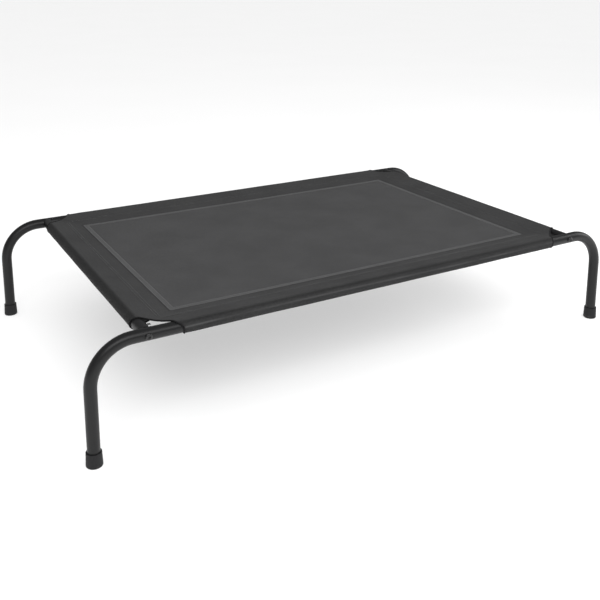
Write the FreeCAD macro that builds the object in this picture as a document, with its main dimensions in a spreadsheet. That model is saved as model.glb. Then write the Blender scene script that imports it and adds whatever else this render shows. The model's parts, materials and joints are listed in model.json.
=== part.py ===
import FreeCAD, Part
import math
import os

import Sketcher

# Elevated dog bed: a bolted frame of bent steel tube with a sewn sling cover. Millimetres, +Z up.
# The origin is on the floor, below the middle of the bed. +X runs along the long side and the
# front rail is at -Y.

DRIVING_DIMENSIONS = [
    # alias, value, what it is
    ("leg_spacing", 1166.0, "leg axis to leg axis along the long side"),
    ("rail_spacing", 690.0, "rail axis to rail axis across the bed"),
    ("rail_height", 208.0, "rail axis above the floor"),
    ("tube_diameter", 22.0, "outside diameter of rails, legs and crossbars"),
    ("tube_wall", 1.2, "wall of every tube"),
    ("bend_radius", 74.0, "centreline radius between leg and rail"),
    ("crossbar_inset", 97.0, "crossbar axis inwards from the leg axis"),
    ("spigot_length", 50.0, "swaged end that joins two half rails"),
    ("spigot_clearance", 0.1, "radial play of the spigot in the other half rail"),
    ("shoulder_thickness", 2.0, "web where the rail steps down to its spigot"),
    ("lip_trim", 5.0, "blunt end of the crossbar's saddle, short of the rail axis"),
    ("foot_floor", 4.0, "rubber below the end of the leg"),
    ("foot_depth", 25.0, "height of the rubber foot"),
    ("foot_wall", 2.3, "rubber round the leg at the rim"),
    ("foot_flare", 1.0, "extra radius of the foot at its base"),
    ("foot_rounding", 2.5, "rounded lower edge of the foot"),
    ("foot_mouth", 0.8, "flared mouth of the foot round the leg"),
    ("bolt_diameter", 6.0, "thread diameter of the corner bolt"),
    ("bolt_hole_play", 0.3, "radial play of the bolt in the rail"),
    ("bolt_head_diameter", 12.6, "button head across"),
    ("bolt_head_rise", 3.4, "height of the button head"),
    ("bolt_head_rim", 0.8, "straight rim of the button head"),
    ("socket_flats", 4.0, "hexagon socket across flats"),
    ("socket_depth", 2.0, "depth of the hexagon socket"),
    ("bolt_overrun", 3.0, "bolt end past the barrel nut"),
    ("nut_diameter", 10.0, "barrel nut"),
    ("nut_setback", 27.0, "barrel nut axis inwards from the rail axis"),
    ("nut_proud", 5.5, "barrel nut end past the crossbar's side"),
    ("nut_reach", 8.0, "blind end of the barrel nut past the crossbar's axis"),
    ("nut_hole_play", 0.1, "radial play of the barrel nut in the crossbar"),
    ("nut_slot_width", 1.6, "screwdriver slot of the barrel nut"),
    ("nut_slot_depth", 1.5, "depth of that slot"),
    ("nut_chamfer", 0.8, "bevel round the barrel nut's end"),
    ("sleeve_play", 0.3, "gap between cloth and tube"),
    ("cloth_thickness", 1.2, "border and sleeve cloth with its hems"),
    ("mesh_thickness", 1.0, "open mesh cloth"),
    ("sleeve_seam", 33.0, "sleeve seam inwards from the tube axis"),
    ("tunnel_end", 29.0, "inner end of the tunnel from the tube axis"),
    ("rail_sleeve_setback", 54.0, "rail sleeve's end from the crossbar axis"),
    ("crossbar_sleeve_setback", 46.0, "crossbar sleeve's end from the rail axis"),
    ("notch_rounding", 10.0, "rounded inner corner of the border's corner notch"),
    ("binding_setback", 66.5, "binding's outer edge from the tube axes"),
    ("binding_width", 11.0, "width of the binding tape"),
    ("binding_thickness", 0.8, "binding tape over the mesh seam"),
]

doc = FreeCAD.newDocument("elevated_dog_bed")
sheet = doc.addObject("Spreadsheet::Sheet", "dims")
for row, (alias, value, meaning) in enumerate(DRIVING_DIMENSIONS, start=1):
    sheet.set(f"A{row}", meaning)
    sheet.set(f"B{row}", str(value))
    sheet.setAlias(f"B{row}", alias)
doc.recompute()

SIZE = {alias: float(sheet.get(alias)) for alias, _, _ in DRIVING_DIMENSIONS}
TUBE_RADIUS = SIZE["tube_diameter"] / 2
CROSSBAR_X = SIZE["leg_spacing"] / 2 - SIZE["crossbar_inset"]

parts = []


# ---------------------------------------------------------------- helpers

def new_body(name):
    """An empty body that becomes one sub-part."""
    body = doc.addObject("PartDesign::Body", name)
    body.Label = name
    parts.append(body)
    return body


def new_sketch(body, name, plane, offset=None):
    """A sketch on one of the body's own origin planes. offset maps x, y and z to expressions."""
    sketch = body.newObject("Sketcher::SketchObject", f"{body.Name}_{name}")
    origin_plane = next(f for f in body.Origin.OriginFeatures if f.Role == plane)
    sketch.AttachmentSupport = [(origin_plane, "")]
    sketch.MapMode = "FlatFace"
    for axis, expression in (offset or {}).items():
        sketch.setExpression(f".AttachmentOffset.Base.{axis}", expression)
    return sketch


def bind(sketch, index, expression):
    """Ties a sketch's dimension to the sheet."""
    sketch.setExpression(f"Constraints[{index}]", expression)


def fix_point(sketch, geometry, position, x_expression, y_expression, x, y):
    """Holds one point at expressions measured from the sketch's origin; x and y are where it starts."""
    for kind, expression, start in (("DistanceX", x_expression, x), ("DistanceY", y_expression, y)):
        index = sketch.addConstraint(Sketcher.Constraint(kind, -1, 1, geometry, position, start))
        bind(sketch, index, expression)


def polygon(sketch, corners):
    """A closed outline. corners are (x expression, y expression, starting x, starting y)."""
    lines = []
    for start, end in zip(corners, corners[1:] + corners[:1]):
        line = Part.LineSegment(
            FreeCAD.Vector(start[2], start[3], 0), FreeCAD.Vector(end[2], end[3], 0)
        )
        lines.append(sketch.addGeometry(line))
    for line, following, corner in zip(lines, lines[1:] + lines[:1], corners):
        sketch.addConstraint(Sketcher.Constraint("Coincident", line, 2, following, 1))
        fix_point(sketch, line, 1, *corner)


def set_radius(sketch, geometry, expression, radius):
    """Ties a circle's or an arc's radius to the sheet."""
    bind(sketch, sketch.addConstraint(Sketcher.Constraint("Radius", geometry, radius)), expression)


def circle(sketch, radius_expression, radius, centre=None):
    """A circle at the sketch's origin, or at centre: (x expression, y expression, starting x, y)."""
    start = FreeCAD.Vector(centre[2], centre[3], 0) if centre else FreeCAD.Vector()
    index = sketch.addGeometry(Part.Circle(start, FreeCAD.Vector(0, 0, 1), radius))
    if centre:
        fix_point(sketch, index, 3, *centre)
    else:
        sketch.addConstraint(Sketcher.Constraint("Coincident", index, 3, -1, 1))
    set_radius(sketch, index, radius_expression, radius)


def tube_ring(sketch):
    """The tube's section: outside and bore."""
    circle(sketch, "dims.tube_diameter / 2", TUBE_RADIUS)
    circle(sketch, "dims.tube_diameter / 2 - dims.tube_wall", TUBE_RADIUS - SIZE["tube_wall"])


def pad(body, sketch, length_expression, symmetric=True):
    """Pads the sketch to both sides of its plane, or along its normal."""
    feature = body.newObject("PartDesign::Pad", f"{sketch.Name}_pad")
    feature.Profile = sketch
    feature.SideType = "Symmetric" if symmetric else "One side"
    feature.setExpression("Length", length_expression)
    return feature


def cut_through(body, sketch):
    """Cuts the sketch right through the body, both ways from its plane."""
    feature = body.newObject("PartDesign::Pocket", f"{sketch.Name}_cut")
    feature.Profile = sketch
    feature.Type = "ThroughAll"
    feature.SideType = "Symmetric"
    return feature


def cut_in(body, sketch, depth_expression, along_normal=False):
    """Cuts the sketch to a depth, against its plane's normal unless told otherwise."""
    feature = body.newObject("PartDesign::Pocket", f"{sketch.Name}_cut")
    feature.Profile = sketch
    feature.setExpression("Length", depth_expression)
    feature.Reversed = along_normal
    return feature


def revolve(body, sketch, axis):
    """Turns the sketch once round its own H_Axis or V_Axis."""
    feature = body.newObject("PartDesign::Revolution", f"{sketch.Name}_turn")
    feature.Profile = sketch
    feature.ReferenceAxis = (sketch, [axis])
    feature.Angle = 360
    return feature


def edges_where(feature, test):
    """Names of the feature's edges that pass the test."""
    doc.recompute()
    return [f"Edge{i}" for i, edge in enumerate(feature.Shape.Edges, start=1) if test(edge)]


def dress(body, kind, feature, edge_names, size_name, expression):
    """A fillet or chamfer on the named edges."""
    dressed = body.newObject(f"PartDesign::{kind}", f"{feature.Name}_{kind.lower()}")
    dressed.Base = (feature, edge_names)
    dressed.setExpression(size_name, expression)
    return dressed


def place(body, x_expression, y_expression, z_expression, rotation=None):
    """Puts the sub-part in the bed's frame."""
    body.Placement = FreeCAD.Placement(FreeCAD.Vector(), rotation or FreeCAD.Rotation())
    for axis, expression in zip("xyz", (x_expression, y_expression, z_expression)):
        body.setExpression(f".Placement.Base.{axis}", expression)


def signed(side, expression):
    """The expression, or its negative on the -1 side."""
    return f"({expression})" if side > 0 else f"-({expression})"


def about_z(degrees):
    return FreeCAD.Rotation(FreeCAD.Vector(0, 0, 1), degrees)


CROSSBAR_AXIS = "dims.leg_spacing / 2 - dims.crossbar_inset"
RAIL_AXIS = "dims.rail_spacing / 2"
SIDES = {"left": -1, "right": 1}
ENDS = {"front": -1, "rear": 1}
CORNERS = [(f"{end}_{side}", x, y) for end, y in ENDS.items() for side, x in SIDES.items()]


# ---------------------------------------------------------------- tube frame

def bend_path(body):
    """Centreline in the body's XZ plane: up the leg, round the bend and along the half rail."""
    rise = SIZE["rail_height"] - SIZE["bend_radius"]
    reach = SIZE["leg_spacing"] / 2
    radius = SIZE["bend_radius"]
    sketch = new_sketch(body, "path", "XZ_Plane")
    leg = sketch.addGeometry(
        Part.LineSegment(FreeCAD.Vector(0, SIZE["foot_floor"], 0), FreeCAD.Vector(0, rise, 0))
    )
    bend = sketch.addGeometry(
        Part.ArcOfCircle(
            Part.Circle(FreeCAD.Vector(radius, rise, 0), FreeCAD.Vector(0, 0, 1), radius),
            math.pi / 2,
            math.pi,
        )
    )
    rail = sketch.addGeometry(
        Part.LineSegment(
            FreeCAD.Vector(radius, SIZE["rail_height"], 0),
            FreeCAD.Vector(reach, SIZE["rail_height"], 0),
        )
    )
    sketch.addConstraint(Sketcher.Constraint("Tangent", leg, 2, bend, 2))
    sketch.addConstraint(Sketcher.Constraint("Tangent", rail, 1, bend, 1))
    sketch.addConstraint(Sketcher.Constraint("Vertical", leg))
    sketch.addConstraint(Sketcher.Constraint("Horizontal", rail))
    sketch.addConstraint(Sketcher.Constraint("PointOnObject", leg, 1, -2))
    foot = sketch.addConstraint(
        Sketcher.Constraint("DistanceY", -1, 1, leg, 1, SIZE["foot_floor"])
    )
    bind(sketch, foot, "dims.foot_floor")
    fix_point(
        sketch, rail, 2, "dims.leg_spacing / 2", "dims.rail_height", reach, SIZE["rail_height"]
    )
    set_radius(sketch, bend, "dims.bend_radius", radius)
    return sketch


def add_spigot(body):
    """Swaged end past the shoulder: it slides into the other half rail's bore."""
    outside = "dims.tube_diameter / 2 - dims.tube_wall - dims.spigot_clearance"
    bore = f"{outside} - dims.tube_wall"
    middle = "dims.tube_diameter / 2 - dims.tube_wall / 2"
    outside_start = TUBE_RADIUS - SIZE["tube_wall"] - SIZE["spigot_clearance"]
    bore_start = outside_start - SIZE["tube_wall"]
    middle_start = TUBE_RADIUS - SIZE["tube_wall"] / 2
    tip = SIZE["spigot_length"]
    back = -SIZE["shoulder_thickness"]
    sketch = new_sketch(
        body, "spigot", "XZ_Plane", {"x": "dims.leg_spacing / 2", "y": "dims.rail_height"}
    )
    polygon(
        sketch,
        [
            ("-dims.shoulder_thickness", bore, back, bore_start),
            ("dims.spigot_length", bore, tip, bore_start),
            ("dims.spigot_length", outside, tip, outside_start),
            ("0 mm", outside, 0, outside_start),
            ("0 mm", middle, 0, middle_start),
            ("-dims.shoulder_thickness", middle, back, middle_start),
        ],
    )
    revolve(body, sketch, "H_Axis")


def leg_rail(name, x_side, y_side):
    """Leg, bend and half a long rail in one bent tube, with the corner bolt's hole."""
    body = new_body(name)
    path = bend_path(body)
    section = new_sketch(body, "section", "XY_Plane", {"z": "dims.foot_floor"})
    tube_ring(section)
    pipe = body.newObject("PartDesign::AdditivePipe", f"{name}_tube")
    pipe.Profile = section
    pipe.Spine = (path, ["Edge1", "Edge2", "Edge3"])
    if x_side < 0:
        add_spigot(body)
    hole = new_sketch(body, "bolt_hole", "XZ_Plane")
    circle(
        hole,
        "dims.bolt_diameter / 2 + dims.bolt_hole_play",
        SIZE["bolt_diameter"] / 2 + SIZE["bolt_hole_play"],
        ("dims.crossbar_inset", "dims.rail_height", SIZE["crossbar_inset"], SIZE["rail_height"]),
    )
    cut_through(body, hole)
    place(
        body,
        signed(x_side, "dims.leg_spacing / 2"),
        signed(y_side, RAIL_AXIS),
        "0 mm",
        about_z(0 if x_side < 0 else 180),
    )


def crossbar(name, x_side):
    """Straight tube, coped to saddle the rails, with a hole in its +X wall for each barrel nut."""
    body = new_body(name)
    section = new_sketch(body, "section", "XZ_Plane")
    tube_ring(section)
    pad(body, section, "dims.rail_spacing - 2 * dims.lip_trim")
    half = SIZE["rail_spacing"] / 2
    inner = half - SIZE["nut_setback"]
    saddles = new_sketch(body, "saddles", "YZ_Plane")
    nut_holes = new_sketch(body, "nut_holes", "YZ_Plane")
    for side in (-1, 1):
        at_rail = (signed(side, RAIL_AXIS), "0 mm", side * half, 0)
        at_nut = (signed(side, f"{RAIL_AXIS} - dims.nut_setback"), "0 mm", side * inner, 0)
        circle(saddles, "dims.tube_diameter / 2", TUBE_RADIUS, at_rail)
        circle(
            nut_holes,
            "dims.nut_diameter / 2 + dims.nut_hole_play",
            SIZE["nut_diameter"] / 2 + SIZE["nut_hole_play"],
            at_nut,
        )
    cut_through(body, saddles)
    cut_in(body, nut_holes, "dims.tube_diameter / 2", along_normal=True)
    place(body, signed(x_side, CROSSBAR_AXIS), "0 mm", "dims.rail_height")


# ---------------------------------------------------------------- fasteners and feet

def bolt(name, x_side, y_side):
    """Button-head socket bolt along its body's +Z: the head's seat is at z = 0."""
    body = new_body(name)
    head = SIZE["bolt_head_diameter"] / 2
    shank = SIZE["bolt_diameter"] / 2
    rise = SIZE["bolt_head_rise"]
    length = "dims.tube_diameter / 2 + dims.nut_setback + dims.nut_diameter / 2 + dims.bolt_overrun"
    end = TUBE_RADIUS + SIZE["nut_setback"] + SIZE["nut_diameter"] / 2 + SIZE["bolt_overrun"]
    profile = new_sketch(body, "profile", "XZ_Plane")
    polygon(
        profile,
        [
            ("0 mm", "-dims.bolt_head_rise", 0, -rise),
            ("dims.bolt_head_diameter / 2", "-dims.bolt_head_rise", head, -rise),
            ("dims.bolt_head_diameter / 2", "0 mm", head, 0),
            ("dims.bolt_diameter / 2", "0 mm", shank, 0),
            ("dims.bolt_diameter / 2", length, shank, end),
            ("0 mm", length, 0, end),
        ],
    )
    turned = revolve(body, profile, "V_Axis")
    crown = edges_where(
        turned,
        lambda e: e.Curve.TypeId == "Part::GeomCircle"
        and abs(e.Curve.Radius - head) < 1e-6
        and abs(e.Curve.Center.z + rise) < 1e-6,
    )
    dress(body, "Fillet", turned, crown, "Radius", "dims.bolt_head_rise - dims.bolt_head_rim")
    socket = new_sketch(body, "socket", "XY_Plane", {"z": "-dims.bolt_head_rise"})
    across_corners = f"dims.socket_flats / {2 * math.cos(math.pi / 6)}"
    corner_radius = SIZE["socket_flats"] / (2 * math.cos(math.pi / 6))
    corners = []
    for i in range(6):
        angle = i * math.pi / 3
        corners.append(
            (
                f"{across_corners} * {math.cos(angle):.9f}",
                f"{across_corners} * {math.sin(angle):.9f}",
                corner_radius * math.cos(angle),
                corner_radius * math.sin(angle),
            )
        )
    polygon(socket, corners)
    cut_in(body, socket, "dims.socket_depth", along_normal=True)
    place(
        body,
        signed(x_side, CROSSBAR_AXIS),
        signed(y_side, f"{RAIL_AXIS} + dims.tube_diameter / 2"),
        "dims.rail_height",
        FreeCAD.Rotation(FreeCAD.Vector(1, 0, 0), 90 * y_side),
    )


def barrel_nut(name, x_side, y_side):
    """Cross dowel in the crossbar: the bolt threads through it, a slotted end stands proud."""
    body = new_body(name)
    radius = SIZE["nut_diameter"] / 2
    section = new_sketch(body, "section", "YZ_Plane", {"z": "-dims.nut_reach"})
    circle(section, "dims.nut_diameter / 2", radius)
    length = "dims.nut_reach + dims.tube_diameter / 2 + dims.nut_proud"
    barrel = pad(body, section, length, symmetric=False)
    rims = edges_where(barrel, lambda e: e.Curve.TypeId == "Part::GeomCircle")
    dress(body, "Chamfer", barrel, rims, "Size", "dims.nut_chamfer")
    slot = new_sketch(body, "slot", "YZ_Plane", {"z": "dims.tube_diameter / 2 + dims.nut_proud"})
    width = SIZE["nut_slot_width"] / 2
    polygon(
        slot,
        [
            (
                signed(y, "dims.nut_diameter / 2"),
                signed(z, "dims.nut_slot_width / 2"),
                y * radius,
                z * width,
            )
            for y, z in ((-1, -1), (1, -1), (1, 1), (-1, 1))
        ],
    )
    cut_in(body, slot, "dims.nut_slot_depth")
    thread = new_sketch(body, "thread", "XZ_Plane")
    circle(thread, "dims.bolt_diameter / 2", SIZE["bolt_diameter"] / 2)
    cut_through(body, thread)
    place(
        body,
        signed(x_side, CROSSBAR_AXIS),
        signed(y_side, f"{RAIL_AXIS} - dims.nut_setback"),
        "dims.rail_height",
    )


def foot(name, x_side, y_side):
    """Moulded rubber cap with a closed floor, wider at its base than at its rim."""
    body = new_body(name)
    rim = TUBE_RADIUS + SIZE["foot_wall"]
    base = rim + SIZE["foot_flare"]
    mouth = TUBE_RADIUS + SIZE["foot_mouth"]
    depth = SIZE["foot_depth"]
    mouth_start = depth - 2 * SIZE["foot_mouth"]
    tube = "dims.tube_diameter / 2"
    profile = new_sketch(body, "profile", "XZ_Plane")
    polygon(
        profile,
        [
            ("0 mm", "0 mm", 0, 0),
            (f"{tube} + dims.foot_wall + dims.foot_flare", "0 mm", base, 0),
            (f"{tube} + dims.foot_wall", "dims.foot_depth", rim, depth),
            (f"{tube} + dims.foot_mouth", "dims.foot_depth", mouth, depth),
            (tube, "dims.foot_depth - 2 * dims.foot_mouth", TUBE_RADIUS, mouth_start),
            (tube, "dims.foot_floor", TUBE_RADIUS, SIZE["foot_floor"]),
            ("0 mm", "dims.foot_floor", 0, SIZE["foot_floor"]),
        ],
    )
    turned = revolve(body, profile, "V_Axis")
    lower_edge = edges_where(
        turned,
        lambda e: e.Curve.TypeId == "Part::GeomCircle" and abs(e.Curve.Center.z) < 1e-6,
    )
    dress(body, "Fillet", turned, lower_edge, "Radius", "dims.foot_rounding")
    place(body, signed(x_side, "dims.leg_spacing / 2"), signed(y_side, RAIL_AXIS), "0 mm")


# ---------------------------------------------------------------- sewn cover

def teardrop(sketch, radius_expression, radius, tip_expression, tip, half_expression, half):
    """A circle round the tube drawn out by two tangent lines to a tip that is 2 * half high."""
    reach = math.hypot(tip, half)
    spread = math.acos(radius / reach) + math.atan2(half, tip)
    arc = sketch.addGeometry(
        Part.ArcOfCircle(
            Part.Circle(FreeCAD.Vector(), FreeCAD.Vector(0, 0, 1), radius),
            spread,
            2 * math.pi - spread,
        )
    )
    sketch.addConstraint(Sketcher.Constraint("Coincident", arc, 3, -1, 1))
    set_radius(sketch, arc, radius_expression, radius)
    upper = FreeCAD.Vector(radius * math.cos(spread), radius * math.sin(spread), 0)
    lower = FreeCAD.Vector(upper.x, -upper.y, 0)
    top = sketch.addGeometry(Part.LineSegment(FreeCAD.Vector(tip, half, 0), upper))
    bottom = sketch.addGeometry(Part.LineSegment(lower, FreeCAD.Vector(tip, -half, 0)))
    sketch.addConstraint(Sketcher.Constraint("Tangent", top, 2, arc, 1))
    sketch.addConstraint(Sketcher.Constraint("Tangent", bottom, 1, arc, 2))
    fix_point(sketch, top, 1, tip_expression, half_expression, tip, half)
    if half > 0:
        close = sketch.addGeometry(
            Part.LineSegment(FreeCAD.Vector(tip, -half, 0), FreeCAD.Vector(tip, half, 0))
        )
        sketch.addConstraint(Sketcher.Constraint("Coincident", bottom, 2, close, 1))
        sketch.addConstraint(Sketcher.Constraint("Coincident", close, 2, top, 1))
        fix_point(sketch, bottom, 2, tip_expression, f"-({half_expression})", tip, -half)
    else:
        sketch.addConstraint(Sketcher.Constraint("Coincident", bottom, 2, top, 1))


def sleeve(name, length_expression, x_expression, y_expression, degrees):
    """Cloth tunnel round a tube. Its body's +Y points inwards, to the border panel."""
    body = new_body(name)
    tunnel = TUBE_RADIUS + SIZE["sleeve_play"]
    cloth = SIZE["cloth_thickness"]
    tunnel_expression = "dims.tube_diameter / 2 + dims.sleeve_play"
    section = new_sketch(body, "section", "YZ_Plane")
    teardrop(
        section,
        f"{tunnel_expression} + dims.cloth_thickness",
        tunnel + cloth,
        "dims.sleeve_seam",
        SIZE["sleeve_seam"],
        "dims.cloth_thickness",
        cloth,
    )
    teardrop(section, tunnel_expression, tunnel, "dims.tunnel_end", SIZE["tunnel_end"], "0 mm", 0)
    pad(body, section, length_expression)
    place(body, x_expression, y_expression, "dims.rail_height", about_z(degrees))


def inset_rectangle(sketch, inset_expression, inset):
    """A rectangle at one distance inside the rail and crossbar axes."""
    half_x = CROSSBAR_X - inset
    half_y = SIZE["rail_spacing"] / 2 - inset
    polygon(
        sketch,
        [
            (
                signed(x, f"{CROSSBAR_AXIS} - ({inset_expression})"),
                signed(y, f"{RAIL_AXIS} - ({inset_expression})"),
                x * half_x,
                y * half_y,
            )
            for x, y in ((-1, -1), (1, -1), (1, 1), (-1, 1))
        ],
    )


def border_panel():
    """Woven panel between the sleeve seams, notched at its corners, with the mesh's window."""
    body = new_body("border_panel")
    seam_x = f"{CROSSBAR_AXIS} - dims.sleeve_seam"
    seam_y = f"{RAIL_AXIS} - dims.sleeve_seam"
    notch_x = f"{CROSSBAR_AXIS} - dims.rail_sleeve_setback"
    notch_y = f"{RAIL_AXIS} - dims.crossbar_sleeve_setback"
    x_seam = CROSSBAR_X - SIZE["sleeve_seam"]
    y_seam = SIZE["rail_spacing"] / 2 - SIZE["sleeve_seam"]
    x_notch = CROSSBAR_X - SIZE["rail_sleeve_setback"]
    y_notch = SIZE["rail_spacing"] / 2 - SIZE["crossbar_sleeve_setback"]
    outline = new_sketch(body, "outline", "XY_Plane")
    corners = []
    for x, y in ((1, 1), (-1, 1), (-1, -1), (1, -1)):
        steps = [
            (signed(x, seam_x), signed(y, notch_y), x * x_seam, y * y_notch),
            (signed(x, notch_x), signed(y, notch_y), x * x_notch, y * y_notch),
            (signed(x, notch_x), signed(y, seam_y), x * x_notch, y * y_seam),
        ]
        corners += steps if x * y > 0 else steps[::-1]
    polygon(outline, corners)
    panel = pad(body, outline, "dims.cloth_thickness")
    notch_edges = edges_where(
        panel,
        lambda e: e.Curve.TypeId == "Part::GeomLine"
        and abs(e.Curve.Direction.z) > 0.5
        and abs(abs(e.CenterOfMass.x) - x_notch) < 1e-6
        and abs(abs(e.CenterOfMass.y) - y_notch) < 1e-6,
    )
    dress(body, "Fillet", panel, notch_edges, "Radius", "dims.notch_rounding")
    window = new_sketch(body, "window", "XY_Plane")
    inset_rectangle(
        window,
        "dims.binding_setback + dims.binding_width / 2",
        SIZE["binding_setback"] + SIZE["binding_width"] / 2,
    )
    cut_through(body, window)
    place(body, "0 mm", "0 mm", "dims.rail_height")


def mesh_panel():
    """Open mesh that fills the window, its top level with the border's."""
    body = new_body("mesh_panel")
    outline = new_sketch(body, "outline", "XY_Plane")
    inset_rectangle(
        outline,
        "dims.binding_setback + dims.binding_width / 2",
        SIZE["binding_setback"] + SIZE["binding_width"] / 2,
    )
    pad(body, outline, "dims.mesh_thickness")
    level = "dims.rail_height + (dims.cloth_thickness - dims.mesh_thickness) / 2"
    place(body, "0 mm", "0 mm", level)


def binding_tape():
    """Flat tape sewn over the seam between mesh and border."""
    body = new_body("binding_tape")
    outline = new_sketch(body, "outline", "XY_Plane")
    inset_rectangle(outline, "dims.binding_setback", SIZE["binding_setback"])
    inset_rectangle(
        outline,
        "dims.binding_setback + dims.binding_width",
        SIZE["binding_setback"] + SIZE["binding_width"],
    )
    pad(body, outline, "dims.binding_thickness", symmetric=False)
    place(body, "0 mm", "0 mm", "dims.rail_height + dims.cloth_thickness / 2")


# ---------------------------------------------------------------- the bed

for corner_name, x_side, y_side in CORNERS:
    leg_rail(f"{corner_name}_leg_rail", x_side, y_side)
    foot(f"{corner_name}_foot", x_side, y_side)
    bolt(f"{corner_name}_bolt", x_side, y_side)
    barrel_nut(f"{corner_name}_barrel_nut", x_side, y_side)

for side_name, side in SIDES.items():
    crossbar(f"{side_name}_crossbar", side)
    sleeve(
        f"{side_name}_sleeve",
        "dims.rail_spacing - 2 * dims.crossbar_sleeve_setback",
        signed(side, CROSSBAR_AXIS),
        "0 mm",
        90 * side,
    )

for end_name, end in ENDS.items():
    sleeve(
        f"{end_name}_sleeve",
        f"2 * ({CROSSBAR_AXIS} - dims.rail_sleeve_setback)",
        "0 mm",
        signed(end, RAIL_AXIS),
        0 if end < 0 else 180,
    )

border_panel()
mesh_panel()
binding_tape()
doc.recompute()

# ---------------------------------------------------------------- checks and files

failed = [o.Name for o in doc.Objects if "Invalid" in o.State or "Error" in o.State]
if failed:
    raise RuntimeError(f"features that failed: {failed}")
os.makedirs("parts", exist_ok=True)
for part in parts:
    shape = part.Shape
    if shape.isNull() or not shape.isValid() or len(shape.Solids) != 1:
        raise RuntimeError(f"{part.Label} is not one valid solid")
for part in parts:
    part.Shape.exportStep(f"parts/{part.Label}.step")
    print(f"{part.Label}: {part.Shape.Volume / 1000:.2f} cm3")
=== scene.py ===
import json
import math

import bpy
from mathutils import Matrix, Vector, noise


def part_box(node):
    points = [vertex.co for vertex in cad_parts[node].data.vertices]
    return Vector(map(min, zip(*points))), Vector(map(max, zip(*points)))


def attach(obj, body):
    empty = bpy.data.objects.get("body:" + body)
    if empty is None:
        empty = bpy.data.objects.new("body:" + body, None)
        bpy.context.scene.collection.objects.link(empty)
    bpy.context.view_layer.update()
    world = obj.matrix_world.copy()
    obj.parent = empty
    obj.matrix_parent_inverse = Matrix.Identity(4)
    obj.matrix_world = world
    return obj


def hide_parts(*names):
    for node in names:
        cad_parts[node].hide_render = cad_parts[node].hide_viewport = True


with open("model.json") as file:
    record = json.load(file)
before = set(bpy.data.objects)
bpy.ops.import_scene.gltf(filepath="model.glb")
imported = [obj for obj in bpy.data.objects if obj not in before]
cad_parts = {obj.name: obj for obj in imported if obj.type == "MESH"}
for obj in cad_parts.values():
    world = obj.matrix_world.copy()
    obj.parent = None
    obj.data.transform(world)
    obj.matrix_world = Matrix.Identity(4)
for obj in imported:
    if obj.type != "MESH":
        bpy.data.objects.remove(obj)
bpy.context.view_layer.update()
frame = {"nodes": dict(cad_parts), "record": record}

# Raised dog bed. The steel frame, bolts, nuts and feet are the CAD's own nodes with materials.
# The sewn cover is built here as cloth: a border whose four sleeves wrap the tubes, a mesh panel,
# the binding over their seam, hems round the corner cut-outs, and the sewing.
# Metres, +Z up, the front rail at -Y.


# ---------------------------------------------------------------- sizes from the frame

def middle(node, axis):
    low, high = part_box(node)
    return (low[axis] + high[axis]) / 2


CROSSBAR_X = middle("right_crossbar", 0)
RAIL_Y = middle("rear_left_foot", 1)
LEVEL = middle("right_crossbar", 2)

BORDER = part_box("border_panel")
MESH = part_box("mesh_panel")
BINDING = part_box("binding_tape")
CLOTH = BORDER[1][2] - BORDER[0][2]
MESH_THICKNESS = MESH[1][2] - MESH[0][2]
SLEEVE_RADIUS = (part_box("front_sleeve")[1][2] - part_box("front_sleeve")[0][2]) / 2 - CLOTH / 2

SEAM_X, SEAM_Y = BORDER[1][0], BORDER[1][1]
WINDOW_X, WINDOW_Y = MESH[1][0], MESH[1][1]
SEAM_REACH = CROSSBAR_X - SEAM_X
BINDING_WIDTH = 2 * (BINDING[1][0] - WINDOW_X)

# The top cloth rises gently from the binding and leaves flat where it touches the sleeve's circle.
RISE_REACH = CROSSBAR_X - BINDING[1][0]
TOP_ANGLE = math.acos(SLEEVE_RADIUS / RISE_REACH)
CROWN_IN = SLEEVE_RADIUS * math.cos(TOP_ANGLE)
CROWN_UP = SLEEVE_RADIUS * math.sin(TOP_ANGLE)
CROWN_X, CROWN_Y = CROSSBAR_X - CROWN_IN, RAIL_Y - CROWN_IN

# At the crown the cloth's sleeves run a little past the frame's.
RAIL_SLEEVE_PAST = 0.0065
CROSSBAR_SLEEVE_PAST = 0.0025
END_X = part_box("front_sleeve")[1][0] + RAIL_SLEEVE_PAST
END_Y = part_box("right_sleeve")[1][1] + CROSSBAR_SLEEVE_PAST

GRID = 0.005
SAG = 0.0035
RISE_START = 0.006  # over this run beside the binding the cloth turns upwards
SLOPE_BLEND = 4  # exponent that joins the slopes to a rail and to a crossbar
FLAP = 0.014  # what lies under the border past a sleeve's seam
FLAP_DROOP = 0.00012
UNDER_SEAM = CLOTH * 1.05
SEAM_SHADE_WIDTH = 0.0026
STITCH_ROW = 0.74  # of the binding's half width
HEM_RADIUS = 0.0015

# A ridge along each sleeve, its colour lightened there as a painted highlight, and a band of painted
# shade round each tube.
RAIL_RIDGE = {"past_side": -0.0030, "width": 0.0013, "rise": 0.0007}
CROSSBAR_RIDGE = {"past_side": 0.0060, "width": 0.0012, "rise": 0.0004}
RAIL_SHADE = {"strength": 0.62, "turned": 37, "spread": 15}
CROSSBAR_SHADE = {"strength": 0.80, "from": (-11, 24), "to": (150, 190)}
RAIL_CRUMPLE, CROSSBAR_CRUMPLE = 0.6, 0.4

CORNERS = [(x, y) for y in (-1, 1) for x in (-1, 1)]
UP = Vector((0, 0, 1))


# ---------------------------------------------------------------- node helpers for materials

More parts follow.
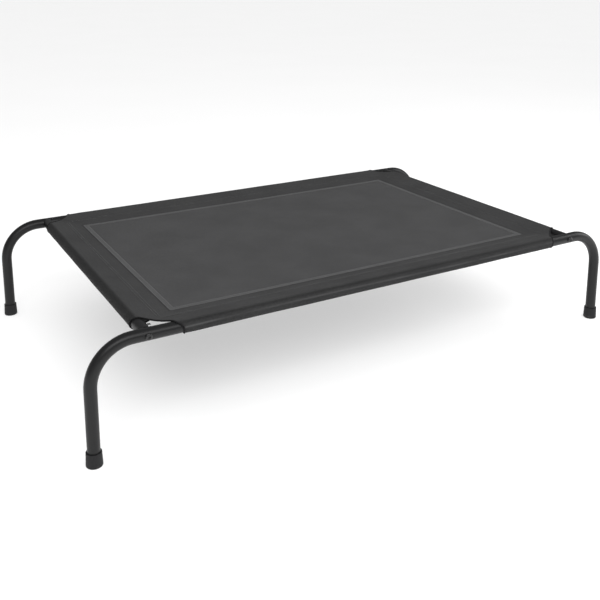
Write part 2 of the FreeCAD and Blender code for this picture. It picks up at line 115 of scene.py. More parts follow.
class Shader:
    """A Principled material that is built up one node at a time."""

    def __init__(self, name, colour, roughness, **sockets):
        self.material = bpy.data.materials.new(name)
        self.material.use_nodes = True
        self.nodes = self.material.node_tree.nodes
        self.links = self.material.node_tree.links
        self.bsdf = self.nodes["Principled BSDF"]
        self.set("Base Color", (*colour, 1.0))
        self.set("Roughness", roughness)
        for socket, value in sockets.items():
            self.set(socket.replace("_", " "), value)
        self.coordinates = self.nodes.new("ShaderNodeTexCoord")

    def set(self, socket, value):
        self.bsdf.inputs[socket].default_value = value

    def node(self, kind, settings=None, **inputs):
        made = self.nodes.new(f"ShaderNode{kind}")
        for key, value in (settings or {}).items():
            setattr(made, key, value)
        for key, value in inputs.items():
            by_number = key[0] == "i" and key[1:].isdigit()
            socket = made.inputs[int(key[1:]) if by_number else key]
            if isinstance(value, bpy.types.NodeSocket):
                self.links.new(value, socket)
            else:
                socket.default_value = value
        return made

    def math(self, operation, a, b=0.0):
        return self.node("Math", {"operation": operation}, i0=a, i1=b).outputs[0]

    def noise(self, scale, detail=2.0, roughness=0.5, vector=None, stretch=None):
        """A noise value from 0 to 1. scale is in features per metre of object or cloth."""
        where = vector or self.coordinates.outputs["Object"]
        if stretch:
            where = self.node("Mapping", None, Vector=where, Scale=stretch).outputs[0]
        made = self.node("TexNoise", None, Vector=where, Scale=scale, Detail=detail, Roughness=roughness)
        return made.outputs["Fac"]

    def ramp(self, value, low, high, to_low=0.0, to_high=1.0):
        made = self.node(
            "MapRange", {"interpolation_type": "SMOOTHSTEP"},
            i0=value, i1=low, i2=high, i3=to_low, i4=to_high,
        )
        return made.outputs[0]

    def blend(self, factor, a, b):
        made = self.node("Mix", {"data_type": "RGBA"})
        colours = [s for s in made.inputs if s.type == "RGBA"]
        self.links.new(factor, made.inputs[0])
        for socket, value in zip(colours, (a, b)):
            if isinstance(value, bpy.types.NodeSocket):
                self.links.new(value, socket)
            else:
                socket.default_value = (*value, 1.0)
        return next(s for s in made.outputs if s.type == "RGBA")

    def colour(self, output):
        self.links.new(output, self.bsdf.inputs["Base Color"])

    def roughness(self, output):
        self.links.new(output, self.bsdf.inputs["Roughness"])

    def bump(self, *layers):
        """layers are (height output, distance in metres, strength)."""
        normal = None
        for height, distance, strength in layers:
            made = self.node("Bump", None, Height=height, Distance=distance, Strength=strength)
            if normal is not None:
                self.links.new(normal, made.inputs["Normal"])
            normal = made.outputs["Normal"]
        self.links.new(normal, self.bsdf.inputs["Normal"])

    def woven(self, pitch):
        """Plain weave on the cloth's own UVs, which are in metres: (height, warp share)."""
        split = self.node("SeparateXYZ", None, Vector=self.coordinates.outputs["UV"])
        turns = math.pi / pitch
        across = self.math("SINE", self.math("MULTIPLY", split.outputs[0], turns))
        along = self.math("SINE", self.math("MULTIPLY", split.outputs[1], turns))
        checker = self.math("MULTIPLY", across, along)
        ridge_a = self.math("ABSOLUTE", across)
        ridge_b = self.math("ABSOLUTE", along)
        warp = self.ramp(checker, -0.25, 0.25)
        height = self.math(
            "ADD",
            self.math("MULTIPLY", ridge_a, warp),
            self.math("MULTIPLY", ridge_b, self.math("SUBTRACT", 1.0, warp)),
        )
        return height, warp


def powder_coat():
    """Black powder-coated tube: satin, faint orange peel, a little handling wear."""
    s = Shader("powder_coat_black", (0.008, 0.008, 0.0085), 0.38, Specular_IOR_Level=0.34)
    peel = s.noise(900.0, 2.0)
    cloudy = s.noise(14.0, 3.0)
    scuffs = s.noise(60.0, 6.0, 0.7, stretch=(1.0, 6.0, 6.0))
    scuffed = s.ramp(scuffs, 0.62, 0.74)
    base = s.blend(cloudy, (0.005, 0.005, 0.0054), (0.010, 0.010, 0.0104))
    s.colour(s.blend(s.math("MULTIPLY", scuffed, 0.35), base, (0.035, 0.035, 0.036)))
    rough = s.ramp(cloudy, 0.3, 0.7, 0.34, 0.42)
    s.roughness(s.math("ADD", rough, s.math("MULTIPLY", scuffed, 0.1)))
    s.bump((peel, 0.00012, 0.35), (cloudy, 0.0003, 0.15))
    return s.material


def bolt_black():
    """Black oxide steel, worn lighter where a key has rubbed."""
    s = Shader("bolt_black_oxide", (0.01, 0.01, 0.0105), 0.30, Specular_IOR_Level=0.55)
    grain = s.noise(2500.0, 3.0)
    wear_and_painted_light = s.ramp(s.noise(420.0, 4.0, 0.65), 0.55, 0.72)
    s.colour(s.blend(wear_and_painted_light, (0.006, 0.006, 0.0065), (0.030, 0.030, 0.030)))
    s.roughness(s.ramp(grain, 0.3, 0.7, 0.22, 0.36))
    s.bump((grain, 0.00005, 0.4))
    return s.material


def bright_zinc():
    """Bright zinc plate with fine turning marks."""
    s = Shader("bright_zinc", (0.40, 0.405, 0.41), 0.36, Metallic=1.0)
    turning = s.noise(1800.0, 2.0, stretch=(6.0, 1.0, 1.0))
    patches = s.noise(260.0, 3.0)
    s.colour(s.blend(patches, (0.32, 0.325, 0.33), (0.50, 0.50, 0.495)))
    s.roughness(s.ramp(patches, 0.3, 0.7, 0.28, 0.44))
    s.bump((turning, 0.00004, 0.5))
    return s.material


def foot_rubber():
    """Moulded black rubber, matt, with a fine grain and dust on its lower edge."""
    s = Shader("foot_rubber", (0.02, 0.02, 0.021), 0.62, Specular_IOR_Level=0.25)
    grain = s.noise(1600.0, 3.0)
    dust = s.noise(90.0, 4.0, 0.6)
    height = s.node("SeparateXYZ", None, Vector=s.coordinates.outputs["Object"]).outputs[2]
    low = s.ramp(height, 0.0, 0.012, 1.0, 0.0)
    dusty = s.math("MULTIPLY", low, s.ramp(dust, 0.45, 0.7))
    s.colour(s.blend(dusty, (0.016, 0.016, 0.017), (0.045, 0.044, 0.042)))
    s.roughness(s.ramp(grain, 0.3, 0.7, 0.55, 0.72))
    s.bump((grain, 0.0001, 0.5))
    return s.material


def woven_cloth(name, dark, light, pitch, fleck, roughness, depth):
    """Coated plain weave: thread relief with painted shade in the hollows between threads, flecks of
    lighter coating and slow colour drift.

    The mesh's colour attribute adds painted shade along seams and round the tubes (red), a painted
    highlight along the sleeve ridges (green) and crumple (blue)."""
    s = Shader(name, light, roughness, Specular_IOR_Level=0.12, Sheen_Weight=0.02, Sheen_Roughness=0.5)
    cloth = s.coordinates.outputs["UV"]
    height, warp = s.woven(pitch)
    drift = s.noise(9.0, 4.0, 0.6, vector=cloth)
    slub_a = s.noise(220.0, 2.0, vector=cloth, stretch=(1.0, 9.0, 1.0))
    slub_b = s.noise(220.0, 2.0, vector=cloth, stretch=(9.0, 1.0, 1.0))
    slub = s.math("ADD", s.math("MULTIPLY", slub_a, 0.5), s.math("MULTIPLY", slub_b, 0.5))
    speck = s.ramp(s.noise(520.0, 3.0, 0.75, vector=cloth), 0.56, 0.72)
    wear_and_painted_light = s.node("Attribute", {"attribute_name": "wear_and_painted_light"})
    painted_shade, painted_highlight, crumple = s.node("SeparateColor", None, Color=wear_and_painted_light.outputs["Color"]).outputs[:3]
    crinkle = s.noise(340.0, 3.0, 0.6, vector=cloth)
    middle_tone = tuple(0.35 * a + 0.65 * b for a, b in zip(dark, light))
    tone = s.blend(s.ramp(drift, 0.3, 0.7, 0.25, 1.0), middle_tone, light)
    # Painted shade: the hollows between the threads are darker.
    tone = s.blend(s.math("MULTIPLY", s.ramp(height, 0.55, 0.0), 0.8), tone, dark)
    tone = s.blend(s.math("MULTIPLY", s.ramp(slub, 0.44, 0.58), 0.35), tone, dark)
    tone = s.blend(s.math("MULTIPLY", crumple, s.ramp(crinkle, 0.40, 0.62, 0.0, 0.7)), tone, dark)
    # Painted shade: darker along the seams and in a band round each tube.
    tone = s.blend(s.math("MULTIPLY", painted_shade, 0.8), tone, tuple(0.4 * c for c in dark))
    # Painted highlight: lighter along the ridge on each sleeve.
    tone = s.blend(s.math("MULTIPLY", painted_highlight, 0.7), tone, tuple(2.4 * c for c in light))
    s.colour(s.blend(s.math("MULTIPLY", speck, fleck), tone, tuple(2.2 * c for c in light)))
    s.roughness(s.ramp(slub, 0.35, 0.65, roughness - 0.08, roughness + 0.08))
    s.bump(
        (s.math("MULTIPLY", crumple, crinkle), 0.0008, 0.6),
        (height, depth, 0.55),
        (slub, depth * 1.5, 0.35),
        (speck, depth, 0.2),
    )
    return s.material


def sewing_thread(name, colour):
    """Twisted polyester thread."""
    s = Shader(name, colour, 0.55, Sheen_Weight=0.3)
    twist = s.noise(2200.0, 2.0)
    s.colour(s.blend(twist, tuple(0.7 * c for c in colour), tuple(1.35 * c for c in colour)))
    s.bump((twist, 0.0001, 0.6))
    return s.material


MATERIALS = {
    "frame_tube": powder_coat(),
    "bolt_black": bolt_black(),
    "nut_zinc": bright_zinc(),
    "foot_rubber": foot_rubber(),
}
BORDER_CLOTH = woven_cloth(
    "coated_border_cloth", (0.012, 0.012, 0.0122), (0.042, 0.042, 0.0425), 0.0008, 0.30, 0.75, 0.00016
)
MESH_CLOTH = woven_cloth(
    "open_mesh_cloth", (0.021, 0.021, 0.0213), (0.058, 0.058, 0.059), 0.0013, 0.16, 0.75, 0.00030
)
BINDING_CLOTH = woven_cloth(
    "binding_tape_cloth", (0.036, 0.036, 0.0365), (0.074, 0.074, 0.0750), 0.0007, 0.10, 0.70, 0.00018
)
# Far darker than the border: partly a real black hem, partly painted shadow of the gap at the cut-out's
# edge.
HEM_CLOTH_AND_SHADOW = woven_cloth(
    "corner_hem_cloth_and_shadow", (0.004, 0.004, 0.0045), (0.010, 0.010, 0.0105), 0.0007, 0.05, 0.70, 0.00014
)
THREAD_DARK = sewing_thread("thread_dark", (0.034, 0.034, 0.035))
THREAD_GREY = sewing_thread("thread_grey", (0.075, 0.075, 0.077))


# ---------------------------------------------------------------- meshes

def new_piece(name, vertices, faces, material, uvs=None, wear_and_painted_light=None):
    """A smooth mesh piece on the root body. uvs has one (u, v) and the marks of painted shade, painted
    highlight and crumple one colour a vertex.
    """
    mesh = bpy.data.meshes.new(name)
    mesh.from_pydata([tuple(v) for v in vertices], [], faces)
    mesh.validate()
    if uvs:
        layer = mesh.uv_layers.new(name="cloth")
        for loop in mesh.loops:
            layer.data[loop.index].uv = uvs[loop.vertex_index]
    if wear_and_painted_light:
        layer = mesh.color_attributes.new("wear_and_painted_light", "FLOAT_COLOR", "POINT")
        for point, colour in zip(layer.data, wear_and_painted_light):
            point.color = (*colour, 1.0)
    mesh.materials.append(material)
    for polygon in mesh.polygons:
        polygon.use_smooth = True
    piece = bpy.data.objects.new(name, mesh)
    bpy.context.scene.collection.objects.link(piece)
    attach(piece, "root")
    return piece


def thicken(piece, thickness):
    """Gives a cloth surface its thickness, half to each side."""
    solid = piece.modifiers.new("thickness", "SOLIDIFY")
    solid.thickness = thickness
    solid.offset = 0.0
    solid.use_even_offset = False


def divided(stops, step):
    """Grid lines through every stop, no further apart than step."""
    lines = [stops[0]]
    for start, end in zip(stops, stops[1:]):
        count = max(1, math.ceil((end - start) / step - 1e-6))
        lines += [start + (end - start) * i / count for i in range(1, count + 1)]
    return lines


def smooth_step(value, low, high):
    share = min(1.0, max(0.0, (value - low) / (high - low)))
    return share * share * (3 - 2 * share)


def slope_up(inwards):
    """Height of the top cloth over a tube's axis, at a distance inwards from that axis."""
    def eased(run):
        return (run + math.hypot(run, RISE_START)) / 2

    return CROWN_UP * eased(RISE_REACH - inwards) / eased(RISE_REACH - CROWN_IN)


def drape(x, y):
    """Height of the stretched cloth over the tube axes: it sags in the middle and rises to them."""
    sag = SAG * max(0.0, 1 - (x / SEAM_X) ** 2) * max(0.0, 1 - (y / SEAM_Y) ** 2)
    to_crossbar, to_rail = slope_up(CROSSBAR_X - abs(x)), slope_up(RAIL_Y - abs(y))
    return (to_crossbar ** SLOPE_BLEND + to_rail ** SLOPE_BLEND) ** (1 / SLOPE_BLEND) - sag


def faded_noise(height, u, v, seed, distance=0.0, reach=1.0):
    """Relief of a height that fades with the distance over its reach."""
    return noise.noise(Vector((u, v, seed))) * height * math.exp(-distance / reach)


# ---------------------------------------------------------------- border and sleeves

def sleeve_profile():
    """Middle of the cloth from the crown, round the tube and back under the border's seam.

    Each point is (inwards, up, normal inwards, normal up, length from the crown)."""
    arc_steps, return_steps, flap_steps = 48, 8, 3
    under = Vector((SEAM_REACH, slope_up(SEAM_REACH) - UNDER_SEAM))
    leave = math.atan2(under.y, under.x) - math.acos(SLEEVE_RADIUS / under.length)
    points = []
    for i in range(arc_steps + 1):
        angle = TOP_ANGLE + (2 * math.pi + leave - TOP_ANGLE) * i / arc_steps
        out = Vector((math.cos(angle), math.sin(angle)))
        points.append((out * SLEEVE_RADIUS, out))
    last, out = points[-1]
    for i in range(1, return_steps + 1):
        points.append((last.lerp(under, i / return_steps), out))
    for i in range(1, flap_steps + 1):
        inwards = SEAM_REACH + FLAP * i / flap_steps
        up = slope_up(inwards) - UNDER_SEAM - FLAP_DROOP * i
        points.append((Vector((inwards, up)), Vector((0.0, -1.0))))
    profile, length = [], 0.0
    for i, (at, out) in enumerate(points):
        length += (at - points[i - 1][0]).length if i else 0.0
        profile.append((at.x, at.y, out.x, out.y, length))
    return profile


PROFILE = sleeve_profile()
WRAP = PROFILE[-1][4]
STATIONS = {
    "crown": 0.0,
    "side": min(PROFILE, key=lambda p: p[0])[4],
    "bottom": min(PROFILE, key=lambda p: p[1])[4],
    "return": WRAP - FLAP,
    "flap": WRAP,
}

# How far a sleeve's end stands back from its end at the crown, at each place round the tube.
RAIL_LEFT_END = {"crown": 0.0, "side": 0.0140, "bottom": 0.0170, "return": 0.0125, "flap": 0.0125}
RAIL_RIGHT_END = {"crown": 0.0, "side": 0.0060, "bottom": 0.0035, "return": 0.0060, "flap": 0.0080}
CROSSBAR_END = {"crown": 0.0, "side": 0.0075, "bottom": 0.0085, "return": 0.0095, "flap": 0.0095}


def end_cut(ends, length):
    """The set-back at a length round the sleeve, eased from station to station."""
    names = list(STATIONS)
    for before, after in zip(names, names[1:]):
        if length <= STATIONS[after] + 1e-9:
            share = smooth_step(length, STATIONS[before], STATIONS[after])
            return ends[before] + (ends[after] - ends[before]) * share
    return ends["flap"]


CUT_SHAPE = 1.06  # exponent of a cut-out's curve: 1 is a straight slant and 2 is an ellipse
CUT_EASE = 1.5  # how far past the curve the cloth beside it moves along, in cut-out sizes


def round_notch(x, y):
    """Moves the stepped edge of a corner cut-out onto a slanting curve, easing the cloth beside it."""
    across, down = CROWN_X - END_X, CROWN_Y - END_Y
    u, v = (CROWN_X - abs(x)) / across, (CROWN_Y - abs(y)) / down
    far = max(u, v)
    straight = (abs(u) ** CUT_SHAPE + abs(v) ** CUT_SHAPE) ** (1 / CUT_SHAPE)
    if far < 0.999 or straight < 1e-9:
        return x, y
    pull = 1 + (far / straight - 1) * (1 - smooth_step(far, 1.0, CUT_EASE))
    return (
        math.copysign(CROWN_X - u * pull * across, x),
        math.copysign(CROWN_Y - v * pull * down, y),
    )


def wrinkle(u, v, edge, end, corner):
    """Relief of the border cloth, in metres along its normal.

    u, v are the flat cut's place, edge the distance from the nearest seam, end the distance from
    the sleeve's end or a large value, and corner the distance from the nearest cut-out."""
    slow = faded_noise(0.00035, u * 11, v * 11, 0.3)
    pucker = faded_noise(0.00045, u * 95, v * 95, 4.1, edge, 0.007)
    gather = faded_noise(0.0009, u * 42, v * 120, 7.7, end, 0.030)
    pull = faded_noise(0.0009, (u + v) * 38, (u - v) * 12, 2.2, corner, 0.045)
    groove = -0.0002 * math.exp(-((edge / 0.0022) ** 2))
    return slow + pucker + gather + pull + groove


def seam_shade_at(distance):
    """Painted shade along a seam at a distance from it, 1 at the seam."""
    return math.exp(-((distance / SEAM_SHADE_WIDTH) ** 2))


def shade_at(length, along_x):
    """Painted shade: a darker band at a set turn round the sleeve.

    The bands are in degrees turned round the tube from its top."""
    turned = math.degrees(length / SLEEVE_RADIUS) - (90 - math.degrees(TOP_ANGLE))
    if along_x:
        band = RAIL_SHADE
        return band["strength"] * math.exp(-(((turned - band["turned"]) / band["spread"]) ** 2))
    band = CROSSBAR_SHADE
    return band["strength"] * smooth_step(turned, *band["from"]) * (1 - smooth_step(turned, *band["to"]))


def border_cloth():
    """One cloth: the border with its window, and four sleeves that share its crown edges."""
    xs = divided([-CROWN_X, -SEAM_X, -END_X, -WINDOW_X, WINDOW_X, END_X, SEAM_X, CROWN_X], GRID)
    ys = divided([-CROWN_Y, -SEAM_Y, -END_Y, -WINDOW_Y, WINDOW_Y, END_Y, SEAM_Y, CROWN_Y], GRID)
    vertices, uvs, wear_and_painted_light, faces = [], [], [], []
    index = {}

    def add(key, place, uv, marks):
        if key not in index:
            index[key] = len(vertices)
            vertices.append(place)
            uvs.append(uv)
            wear_and_painted_light.append(marks)
        return index[key]

    def flat(i, j):
        x, y = round_notch(xs[i], ys[j])
        seam = min(abs(SEAM_X - abs(x)), abs(SEAM_Y - abs(y)))
        tape = max(abs(x) - BINDING[1][0], abs(y) - BINDING[1][1], 0.0)
        corner = math.hypot(END_X - abs(x), END_Y - abs(y))
        relief = wrinkle(xs[i], ys[j], min(seam, tape), 1.0, corner)
        place = Vector((x, y, LEVEL + drape(x, y) + relief))
        # Painted shade along the border's seam and beside the binding tape.
        marks = (max(0.12 * seam_shade_at(seam), 0.6 * seam_shade_at(tape)), 0.0, 0.0)
        return add(("flat", i, j), place, (xs[i], ys[j]), marks)

    for i in range(len(xs) - 1):
        for j in range(len(ys) - 1):
            x, y = abs(xs[i] + xs[i + 1]) / 2, abs(ys[j] + ys[j + 1]) / 2
            if (x < WINDOW_X and y < WINDOW_Y) or (x > END_X and y > END_Y):
                continue
            faces.append((flat(i, j), flat(i + 1, j), flat(i + 1, j + 1), flat(i, j + 1)))

    def sleeve(name, lines, limit, side, along_x, low_end, high_end):
        """lines are the grid lines along the tube; the crown edge is shared with the border."""
        reach = RAIL_Y if along_x else CROSSBAR_X
        crown_at = CROWN_Y if along_x else CROWN_X
        ridge_is = RAIL_RIDGE if along_x else CROSSBAR_RIDGE
        crown_line = 0 if side < 0 else len(ys if along_x else xs) - 1
        kept = [n for n, value in enumerate(lines) if abs(value) < limit + 1e-6]

        def vertex(n, k):
            if k == 0:
                return flat(n, crown_line) if along_x else flat(crown_line, n)
            inwards, up, out_in, out_up, length = PROFILE[k]
            ends = low_end if lines[n] < 0 else high_end
            at = lines[n] * (limit - end_cut(ends, length)) / limit
            edge = abs(WRAP - FLAP - length)
            relief = wrinkle(at, side * (crown_at + length), edge, limit - abs(lines[n]), 1.0)
            # The ridge wanders a little and comes and goes along the tube.
            past = length - STATIONS["side"] - ridge_is["past_side"] - 0.0008 * math.sin(at * 9)
            strength = 0.6 + 0.6 * noise.noise(Vector((at * 14, side, 3.3)))
            ridge = strength * math.exp(-((past / ridge_is["width"]) ** 2))
            relief = (relief + ridge_is["rise"] * ridge) * smooth_step(length, 0.0, 0.004)
            if length > WRAP - FLAP - 0.004:
                relief *= 0.2  # the seam holds it flat under the border
            over = side * (reach - inwards - out_in * relief)
            high = LEVEL + up + out_up * relief
            crumple = RAIL_CRUMPLE if along_x else CROSSBAR_CRUMPLE
            crumple *= smooth_step(length, 0.002, 0.010)
            # Red is painted shade at the seam under the border and round the tube, green a painted
            # highlight along the ridge, blue the crumple.
            marks = (max(shade_at(length, along_x), seam_shade_at(edge)), 0.8 * ridge, crumple)
            place = Vector((at, over, high)) if along_x else Vector((over, at, high))
            cut = (at, side * (crown_at + length))
            return add((name, n, k), place, cut if along_x else cut[::-1], marks)

        for a, b in zip(kept, kept[1:]):
            for k in range(len(PROFILE) - 1):
                quad = (vertex(a, k), vertex(b, k), vertex(b, k + 1), vertex(a, k + 1))
                faces.append(quad if (side > 0) == along_x else quad[::-1])
        return [[vertex(n, k) for k in range(len(PROFILE))] for n in (kept[0], kept[-1])]

    edges = {
        "front": sleeve("front", xs, END_X, -1, True, RAIL_LEFT_END, RAIL_RIGHT_END),
        "rear": sleeve("rear", xs, END_X, 1, True, RAIL_LEFT_END, RAIL_RIGHT_END),
        "left": sleeve("left", ys, END_Y, -1, False, CROSSBAR_END, CROSSBAR_END),
        "right": sleeve("right", ys, END_Y, 1, False, CROSSBAR_END, CROSSBAR_END),
    }

    def notch_edge(x_side, y_side):
        """Vertices along a cut-out: crossbar sleeve end, flat edge, rail sleeve end."""
        bar = edges["left" if x_side < 0 else "right"][0 if y_side < 0 else 1]
        rail = edges["front" if y_side < 0 else "rear"][0 if x_side < 0 else 1]
        at_y = min(range(len(ys)), key=lambda j: abs(ys[j] - y_side * END_Y))
        at_x = min(range(len(xs)), key=lambda i: abs(xs[i] - x_side * END_X))
        i_range = range(len(xs) - 1, at_x - 1, -1) if x_side > 0 else range(0, at_x + 1)
        j_range = range(at_y + 1, len(ys)) if y_side > 0 else range(at_y - 1, -1, -1)
        step = [flat(i, at_y) for i in i_range] + [flat(at_x, j) for j in j_range]
        return bar[:0:-1] + step + rail[1:]

    hems = {(x, y): [vertices[v] for v in notch_edge(x, y)] for x, y in CORNERS}
    piece = new_piece("cover_border", vertices, faces, BORDER_CLOTH, uvs, wear_and_painted_light)
    thicken(piece, CLOTH)
    return piece, hems


# ---------------------------------------------------------------- mesh panel and binding

def mesh_cloth():
    """Taut mesh panel, with the faint waves of cloth pulled from four sides."""
    xs = divided([-WINDOW_X, WINDOW_X], GRID)
    ys = divided([-WINDOW_Y, WINDOW_Y], GRID)
    level = LEVEL + (CLOTH - MESH_THICKNESS) / 2
    vertices, uvs = [], []
    for y in ys:
        for x in xs:
            inside = min(WINDOW_X - abs(x), WINDOW_Y - abs(y))
            wave = faded_noise(0.0005, x * 7, y * 7, 9.0)
            ripple = faded_noise(0.00025, x * 30, y * 30, 1.7)
            relief = (wave + ripple) * smooth_step(inside, 0.0, 0.06)
            vertices.append(Vector((x, y, level + drape(x, y) + relief)))
            uvs.append((x, y))
    width = len(xs)
    faces = [
        (j * width + i, j * width + i + 1, (j + 1) * width + i + 1, (j + 1) * width + i)
        for j in range(len(ys) - 1)
        for i in range(width - 1)
    ]
    piece = new_piece("cover_mesh", vertices, faces, MESH_CLOTH, uvs)
    thicken(piece, MESH_THICKNESS)
    return piece


def rectangle_loop(half_x, half_y, step):
    """(x, y, the side's outward direction, whether it is a corner) of points round a rectangle."""
    corners = [(-half_x, -half_y), (half_x, -half_y), (half_x, half_y), (-half_x, half_y)]
    outward = [(0, -1), (1, 0), (0, 1), (-1, 0)]
    loop = []
    for (x0, y0), (x1, y1), out in zip(corners, corners[1:] + corners[:1], outward):
        count = math.ceil(math.hypot(x1 - x0, y1 - y0) / step)
        for i in range(count):
            share = i / count
            loop.append((x0 + (x1 - x0) * share, y0 + (y1 - y0) * share, out, i == 0))
    return loop


def binding_cloth():
    """Flat tape with mitred corners, puffed between its two rows of stitches."""
    half = BINDING_WIDTH / 2
    thickness = BINDING[1][2] - BINDING[0][2]
    edge_out, edge_up = half * 1.005, thickness * 0.1
    section = [(-edge_out, edge_up)]
    steps = 12
    for i in range(steps + 1):
        across = -1 + 2 * i / steps
        puff = 0.55 + 0.45 * math.cos(across * math.pi * 0.5)
        dent = 0.30 * math.exp(-(((abs(across) - STITCH_ROW) / 0.10) ** 2))
        section.append((across * half, thickness * (puff - dent)))
    section.append((edge_out, edge_up))
    base = LEVEL + CLOTH / 2 - 0.0001
    loop = rectangle_loop(WINDOW_X, WINDOW_Y, 0.006)
    vertices, uvs = [], []
    travelled = 0.0
    for n, (x, y, out, at_corner) in enumerate(loop):
        if n:
            travelled += math.hypot(x - loop[n - 1][0], y - loop[n - 1][1])
        if at_corner:
            out = (math.copysign(1, x), math.copysign(1, y))
        for across, height in section:
            px, py = x + out[0] * across, y + out[1] * across
            pucker = faded_noise(0.00018, px * 120, py * 120, 5.0)
            vertices.append(Vector((px, py, base + height + drape(px, py) + pucker)))
            uvs.append((travelled, across))
        for across, _ in section[::-1]:
            px, py = x + out[0] * across * 0.99, y + out[1] * across * 0.99
            vertices.append(Vector((px, py, base + drape(px, py))))
            uvs.append((travelled, across))
    ring = 2 * len(section)
    faces = []
    for n in range(len(loop)):
        here, there = n * ring, (n + 1) % len(loop) * ring
        for k in range(ring):
            after = (k + 1) % ring
            faces.append((here + k, there + k, there + after, here + after))
    return new_piece("cover_binding", vertices, faces, BINDING_CLOTH, uvs)


# ---------------------------------------------------------------- hems and sewing

def round_hem(name, points):
    """A rolled hem along a line, closed at its ends; its very dark cloth is partly a real black hem and
    partly painted shadow of the gap at the cut-out.
    """
    sides = 10
    vertices, uvs, faces = [], [], []
    travelled = 0.0
    side_way = None
    for n, point in enumerate(points):
        ahead = points[min(n + 1, len(points) - 1)] - points[max(n - 1, 0)]
        ahead.normalize()
        if side_way is None:
            side_way = ahead.orthogonal().normalized()
        side_way = (side_way - ahead * side_way.dot(ahead)).normalized()
        other = ahead.cross(side_way)
        travelled += (point - points[n - 1]).length if n else 0.0
        girth = HEM_RADIUS * (1 + 0.12 * noise.noise(point * 160))
        for k in range(sides):
            angle = 2 * math.pi * k / sides
            vertices.append(point + (side_way * math.cos(angle) + other * math.sin(angle)) * girth)
            uvs.append((travelled, HEM_RADIUS * angle))
    for n in range(len(points) - 1):
        for k in range(sides):
            after = (k + 1) % sides
            a, b = n * sides, (n + 1) * sides
            faces.append((a + k, a + after, b + after, b + k))
    faces.append(tuple(range(sides))[::-1])
    last = (len(points) - 1) * sides
    faces.append(tuple(last + k for k in range(sides)))
    return new_piece(name, vertices, faces, HEM_CLOTH_AND_SHADOW, uvs)


STITCH = {"length": 0.0031, "pitch": 0.0043, "width": 0.00042, "height": 0.00034}


def stitches(name, runs, material):
    """Thread stitches along runs from start to end: each stitch is a low arched bead."""
    vertices, faces = [], []
    rings, sides = 5, 6
    for start, end in runs:
        way = (end - start).normalized()
        side_way = UP.cross(way).normalized()
        count = int((end - start).length / STITCH["pitch"])
        for n in range(count):
            centre = start + way * STITCH["pitch"] * (n + 0.5)
            lean = 0.12 * noise.noise(centre * 900)
            ahead = (way + side_way * lean).normalized()
            across = UP.cross(ahead)
            first = len(vertices)
            for r in range(rings):
                share = -1 + 2 * r / (rings - 1)
                arch = math.sqrt(max(0.04, 1 - share * share))
                at = centre + ahead * share * STITCH["length"] / 2
                at += UP * STITCH["height"] * (arch - 0.55)
                for k in range(sides):
                    angle = 2 * math.pi * k / sides
                    vertices.append(
                        at
                        + across * math.cos(angle) * STITCH["width"] * arch
                        + UP * math.sin(angle) * STITCH["height"] * arch
                    )
            for r in range(rings - 1):
                a, b = first + r * sides, first + (r + 1) * sides
                for k in range(sides):
                    after = (k + 1) % sides
                    faces.append((a + k, a + after, b + after, b + k))
            faces.append(tuple(first + k for k in range(sides))[::-1])
            faces.append(tuple(first + (rings - 1) * sides + k for k in range(sides)))
    return new_piece(name, vertices, faces, material)


def split_run(start, end, lift, step=0.05):
    """Cuts a long straight run into short ones that follow the cloth's sag."""
    count = math.ceil((end - start).length / step)
    points = []
    for i in range(count + 1):
        at = start.lerp(end, i / count)
        points.append(Vector((at.x, at.y, LEVEL + drape(at.x, at.y) + lift)))
    return list(zip(points, points[1:]))


def rectangle_runs(half_x, half_y, lift):
    """Four runs of stitches round a rectangle."""
    corners = [Vector((x * half_x, y * half_y, 0)) for x, y in ((-1, -1), (1, -1), (1, 1), (-1, 1))]
    runs = []
    for a, b in zip(corners, corners[1:] + corners[:1]):
        runs += split_run(a, b, lift)
    return runs


def sew():
    """Two rows on the binding and two along every sleeve seam."""
    row = BINDING_WIDTH / 2 * STITCH_ROW
    top = CLOTH / 2 + (BINDING[1][2] - BINDING[0][2]) * 0.45
    runs = []
    for offset in (-row, row):
        runs += rectangle_runs(WINDOW_X + offset, WINDOW_Y + offset, top)
    binding = stitches("binding_stitches", runs, THREAD_GREY)
    runs = []
    for inset in (0.0012, 0.0065):
        for side in (-1, 1):
            y = side * (SEAM_Y - inset)
            x = side * (SEAM_X - inset)
            runs += split_run(Vector((-END_X, y, 0)), Vector((END_X, y, 0)), CLOTH / 2)
            runs += split_run(Vector((x, -END_Y, 0)), Vector((x, END_Y, 0)), CLOTH / 2)
    seams = stitches("seam_stitches", runs, THREAD_DARK)
    return binding, seams


# ---------------------------------------------------------------- the cover

border, hem_lines = border_cloth()
mesh = mesh_cloth()
binding = binding_cloth()
binding_thread, seam_thread = sew()
for (x_side, y_side), line in hem_lines.items():
    end = "front" if y_side < 0 else "rear"
    side = "left" if x_side < 0 else "right"
    round_hem(f"hem_{end}_{side}", line)

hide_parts("border_panel", "front_sleeve", "rear_sleeve", "left_sleeve", "right_sleeve")
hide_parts("mesh_panel")
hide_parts("binding_tape")

# ---------------------------------------------------------------- CAD nodes' materials

for row in frame["record"]["subparts"]:
    material = MATERIALS.get(row["material_slot"])
    if material is None:
        continue
    node = frame["nodes"][row["node"]]
    node.data.materials.clear()
    node.data.materials.append(material)


# ---------------------------------------------------------------- studio

def floor():
    """Pale seamless floor."""
    half = 40.0
    mesh_data = bpy.data.meshes.new("studio_floor")
    mesh_data.from_pydata(
        [(-half, -half, 0), (half, -half, 0), (half, half, 0), (-half, half, 0)], [], [(0, 1, 2, 3)]
    )
    s = Shader("studio_floor", (0.86, 0.86, 0.86), 0.9)
    tone = s.noise(1.5, 2.0)
    s.colour(s.blend(tone, (0.85, 0.85, 0.85), (0.87, 0.87, 0.87)))
    mesh_data.materials.append(s.material)
    plane = bpy.data.objects.new("studio_floor", mesh_data)
    bpy.context.scene.collection.objects.link(plane)


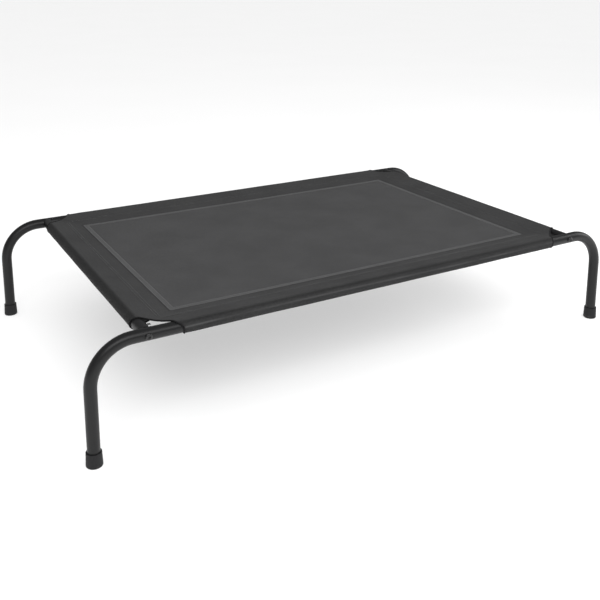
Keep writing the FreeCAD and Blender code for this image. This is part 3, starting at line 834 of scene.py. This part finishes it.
def softbox(name, place, target, size, power):
    """A rectangular soft light that faces the target."""
    data = bpy.data.lights.new(name, "AREA")
    data.shape = "RECTANGLE"
    data.size, data.size_y = size
    data.energy = power
    lamp = bpy.data.objects.new(name, data)
    lamp.location = place
    lamp.rotation_mode = "QUATERNION"
    lamp.rotation_quaternion = (Vector(target) - Vector(place)).to_track_quat("-Z", "Y")
    lamp.visible_camera = False
    bpy.context.scene.collection.objects.link(lamp)


def overhead_fill(strength):
    """Even light from straight above that keeps the whole floor pale."""
    data = bpy.data.lights.new("overhead_fill", "SUN")
    data.use_shadow = False
    data.angle = math.radians(90)
    data.energy = strength
    lamp = bpy.data.objects.new("overhead_fill", data)
    lamp.location = (0.0, 0.0, 4.0)
    lamp.visible_camera = False
    lamp.visible_glossy = False
    bpy.context.scene.collection.objects.link(lamp)


def sky():
    """Even white surround."""
    world = bpy.data.worlds.new("studio")
    world.use_nodes = True
    background = world.node_tree.nodes["Background"]
    background.inputs["Color"].default_value = (1.0, 1.0, 1.0, 1.0)
    background.inputs["Strength"].default_value = 0.25
    bpy.context.scene.world = world


def camera():
    """Front-left view from above; the lens is shifted so that the legs stay nearly upright."""
    place = (-0.8879, -1.5496, 0.7966)
    turn, tilt = math.radians(29.89), math.radians(11.93)
    forward = Vector(
        (math.sin(turn) * math.cos(tilt), math.cos(turn) * math.cos(tilt), -math.sin(tilt))
    )
    right = Vector((math.cos(turn), -math.sin(turn), 0.0))
    up = right.cross(forward)
    data = bpy.data.cameras.new("camera")
    data.sensor_width = 36.0
    data.lens = 48.97
    data.shift_y = -0.2667
    view = bpy.data.objects.new("camera", data)
    turned = Matrix((right, up, -forward)).transposed().to_4x4()
    view.matrix_world = Matrix.Translation(place) @ turned
    bpy.context.scene.collection.objects.link(view)
    bpy.context.scene.camera = view


bpy.context.scene.view_settings.view_transform = "Standard"
floor()
sky()
softbox("key_light", (-0.5, -2.2, 2.1), (0.0, 0.0, 0.1), (3.4, 1.4), 46.0)
softbox("side_light", (2.6, -0.8, 1.2), (0.0, 0.0, 0.2), (1.0, 1.6), 18.0)
overhead_fill(2.7)
camera()
